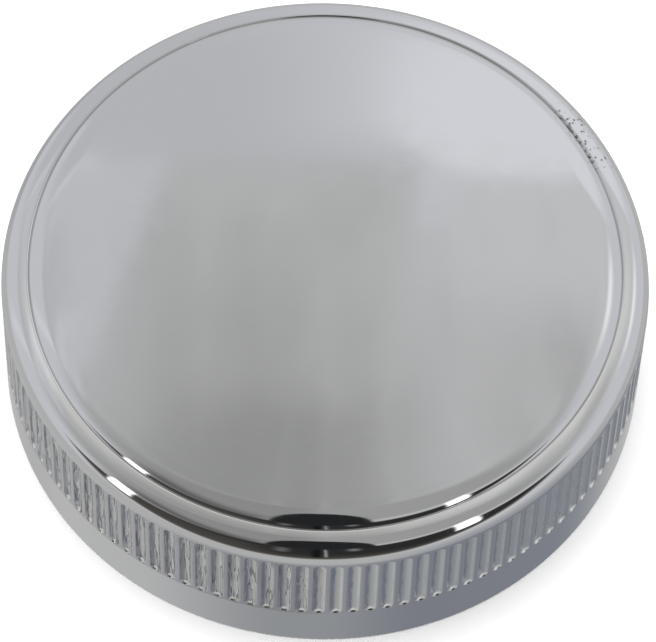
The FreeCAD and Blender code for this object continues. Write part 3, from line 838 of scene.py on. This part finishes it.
def front_gap(n, turn, lift):
    """The dark gap in front, the camera's outline above it, and the two lamps."""

    def curved(middle, bend, offset):
        """An edge of the gap that rises away from its middle."""
        away = n.math("SUBTRACT", turn, middle)
        return n.math("ADD", n.product(away, away, bend), offset)

    # Degrees inside the gap's top and bottom edges
    under_top = n.math("SUBTRACT", 44.0, n.math("ADD", lift, curved(8.0, 0.0045, 0.0)))
    over_bottom = n.math("SUBTRACT", lift, curved(-8.0, 0.0043, -9.0))
    front = n.band(turn, -90, 90, 2)

    # The cloth over the gap, darker at the left
    upper_front = n.product(n.ramp(under_top, 1, -9), n.band(turn, -88, 88, 20), n.ramp(lift, 20, 46))
    n.layer(upper_front, mirrored(150, (1.0, 1.01, 0.985)))
    n.layer(n.window(turn, lift, (-70, -4, 52, 110), 16, 12), mirrored(136, (1.0, 1.0, 0.985)))
    n.layer(n.window(turn, lift, (-60, -13, 30, 50), 9, 11), mirrored(92, (1.01, 1.0, 0.99)))

    # The gap with its lighter fringe, and less dark at the left
    fringe = n.product(n.ramp(over_bottom, -3, 3), n.ramp(under_top, -1, 3), front)
    n.layer(fringe, mirrored(104, WARM))
    core = n.product(n.ramp(over_bottom, 0, 10), n.ramp(under_top, -1, 5), front)
    n.layer(core, n.mix(n.ramp(lift, -2, 20), mirrored(60, WARM), mirrored(41, (1.06, 1.0, 1.03))))
    faded = n.window(turn, lift, (-64, -16, -2, 30), 8, 8)
    n.layer(n.product(faded, 0.5), mirrored(78, WARM))
    camera_outline(n, turn, lift)

    # The lamps lean a little
    left_lamp = n.math("ADD", turn, n.product(lift, 0.06))
    n.layer(n.window(left_lamp, lift, (-59.2, -51.8, 6, 31), 0.8, 2.5), mirrored(330, (1.0, 0.98, 0.94)))
    right_lamp = n.math("SUBTRACT", turn, n.product(lift, 0.13))
    n.layer(n.window(right_lamp, lift, (36.5, 43.5, 16, 41), 1.0, 3), mirrored(330))


def camera_outline(n, turn, lift):
    """The dark round-topped shape over the gap, and the thin light and dark stands below it."""
    across = n.math("DIVIDE", n.apart(turn, 1.5), 17.0)
    up = n.math("DIVIDE", n.apart(lift, 46.0), 29.0)
    reach = n.math("ADD", n.math("POWER", across, 3.0), n.math("POWER", up, 3.0))
    n.layer(n.product(n.ramp(reach, 1.12, 0.86), n.ramp(lift, 38, 41)), mirrored(35, BLUE))
    n.layer(n.window(turn, lift, (-11, -8, 18, 36), 2.0, 4), mirrored(96))
    n.layer(n.window(turn, lift, (10, 12, 29, 39), 2.0, 4), mirrored(135))
    n.layer(n.window(turn, lift, (-1.0, 1.6, 2, 38), 1.0, 4), mirrored(20))
    n.layer(n.window(turn, lift, (2.6, 3.0, 4, 38), 0.5, 3), mirrored(185))


def tent_roof(n, x, y, z, turn, lift):
    """The cloth over the table that the disc mirrors. The tones at the disc's edge carry on outwards."""
    depth = n.math("MAXIMUM", z, 0.01)
    across = n.product(n.math("DIVIDE", x, depth), DISC_REACH)
    up = n.product(n.math("SUBTRACT", n.math("DIVIDE", y, depth), DISC_LEAN), DISC_REACH)
    inward = n.math("DIVIDE", DISC_RADIUS, n.math("MAXIMUM", hypotenuse(n, across, up), DISC_RADIUS))
    across = n.product(across, inward)
    up = n.product(up, inward)
    rear = n.product(n.ramp(lift, 8, 22), n.ramp(n.math("ABSOLUTE", turn), 128, 146))
    overhead = n.product(n.ramp(y, -0.12, 0.04), n.math("MAXIMUM", n.ramp(lift, 38, 52), rear))
    left_fold = n.math("SUBTRACT", across, n.product(up, 0.23))
    right_fold = n.math("ADD", up, n.product(across, 0.6))

    def region(tone, *edges):
        """A tone that each (value, outside, inside) keeps to one side of an edge."""
        sides = [n.ramp(value, outside, inside) for value, outside, inside in edges]
        n.layer(n.product(overhead, *sides), tone)

    region(mirrored(179, COOL))
    region(mirrored(200, COOL), (across, -14, 16), (up, 12, 26))
    region(mirrored(174, NEUTRAL), (up, 19, 14), (across, 16, 8))
    region(mirrored(168, NEUTRAL), (up, 12, 4), (across, 4, -6))
    region(mirrored(188, (0.996, 0.998, 1.008)), (across, 7, 16), (up, 18, 13))
    region(mirrored(162, NEUTRAL), (up, 2, -14), (across, 14, 2))
    region(mirrored(173), (up, 2, -14), (across, 3, 20))
    region(mirrored(152, NEUTRAL), (up, -14, -26), (across, 18, 2), (across, -27, -13))
    region(mirrored(143, NEUTRAL), (up, -18, -27), (across, 6, -2), (across, -19, -11))
    region(mirrored(171), (across, -17, -25), (up, -1, -9))
    region(mirrored(186, COOL), (left_fold, -21.5, -24), (up, 19, 14))
    region(mirrored(196, COOL), (left_fold, -24.5, -27), (up, -7, -10))
    region(mirrored(198, COOL), (across, -26.5, -28.5), (up, 13, 15), (up, 19, 17))
    region(mirrored(192, COOL), (across, 10, 12), (across, 16, 14), (up, 4, 8))
    folds = n.noise(vector(n, n.product(across, 0.17), n.product(up, 0.03), 0.0), 1.0, 2.0)
    middle = n.product(overhead, n.ramp(up, 16, 8))
    n.layer(n.product(middle, n.ramp(folds, 0.5, 0.66, 0.0, 0.3)), mirrored(184))
    n.layer(n.product(middle, n.ramp(folds, 0.48, 0.34, 0.0, 0.2)), mirrored(140))
    region(mirrored(208, COOL), (right_fold, 23.5, 26.5), (up, 14.6, 16.2), (across, 2, 13))


FLOOR_REACH = 4.0


def build_floor():
    """White paper. The chrome mirrors the tent's own table in its place."""
    mesh = bpy.data.meshes.new("floor")
    corners = [(x * FLOOR_REACH, y * FLOOR_REACH, 0) for x, y in ((-1, -1), (1, -1), (1, 1), (-1, 1))]
    mesh.from_pydata(corners, [], [(0, 1, 2, 3)])
    floor = bpy.data.objects.new("floor", mesh)
    floor.location.z = cad_box[0].z
    bpy.context.scene.collection.objects.link(floor)
    material, n = new_material("paper")
    fibres = n.noise(n.add("ShaderNodeTexCoord").outputs["Object"], 900.0, 2.0)
    n.surface(base_color=grey(0.86), roughness=0.9, normal=n.bump(fibres, 0.02))
    floor.data.materials.append(material)
    floor.visible_glossy = False


def area_light(name, place, size, power):
    light = bpy.data.lights.new(name, "AREA")
    light.shape = "DISK"
    light.size = size
    light.energy = power
    lamp = bpy.data.objects.new(name, light)
    lamp.location = place
    lamp.rotation_mode = "QUATERNION"
    lamp.rotation_quaternion = (-Vector(place)).to_track_quat("-Z", "Y")
    lamp.visible_glossy = False
    bpy.context.scene.collection.objects.link(lamp)


place_camera()
build_world()
build_floor()
area_light("soft_top", (-0.1, 0.1, 1.2), 1.6, 30.0)
bpy.context.scene.view_settings.view_transform = "Standard"
